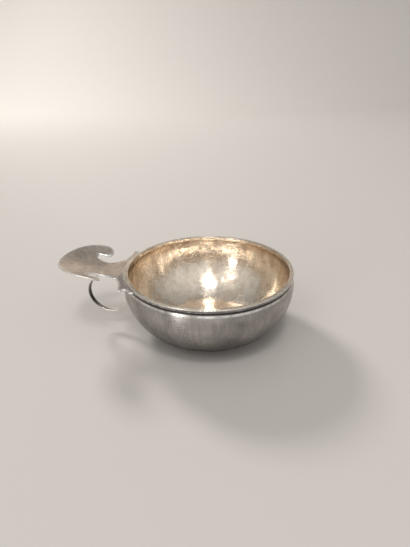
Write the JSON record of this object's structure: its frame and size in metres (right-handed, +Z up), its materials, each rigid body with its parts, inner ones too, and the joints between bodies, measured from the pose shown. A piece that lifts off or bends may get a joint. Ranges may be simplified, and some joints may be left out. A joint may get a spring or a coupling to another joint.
{
  "type": "tastevin",
  "caption": "Shallow round silver cup for tasting wine, with a banded lip, a scrolled and dished thumbpiece beside it and a finger ring soldered under the thumbpiece.",
  "frame": {"origin": "centre of the flat base, on the surface that the cup stands on", "axes": "+Z up along the bowl's axis, -X towards the handle, +Y towards the far side of the pictured view"},
  "size_m": [0.1113, 0.081, 0.0372],
  "materials": {
    "bowl_silver": "polished silver with fine wear, warm inside",
    "band_silver": "polished silver with a worn edge",
    "plate_silver": "satin silver with fine scratches",
    "ring_silver": "polished silver, darker inside",
    "solder_silver": "dull silver solder"
  },
  "bodies": {
    "root": {"bowl": "bowl_silver", "rim_band": "band_silver", "thumbpiece": "plate_silver", "ring_handle": "ring_silver", "thumbpiece_solder": "solder_silver", "ring_top_solder": "solder_silver", "ring_side_solder": "solder_silver"}
  },
  "joints": []
}
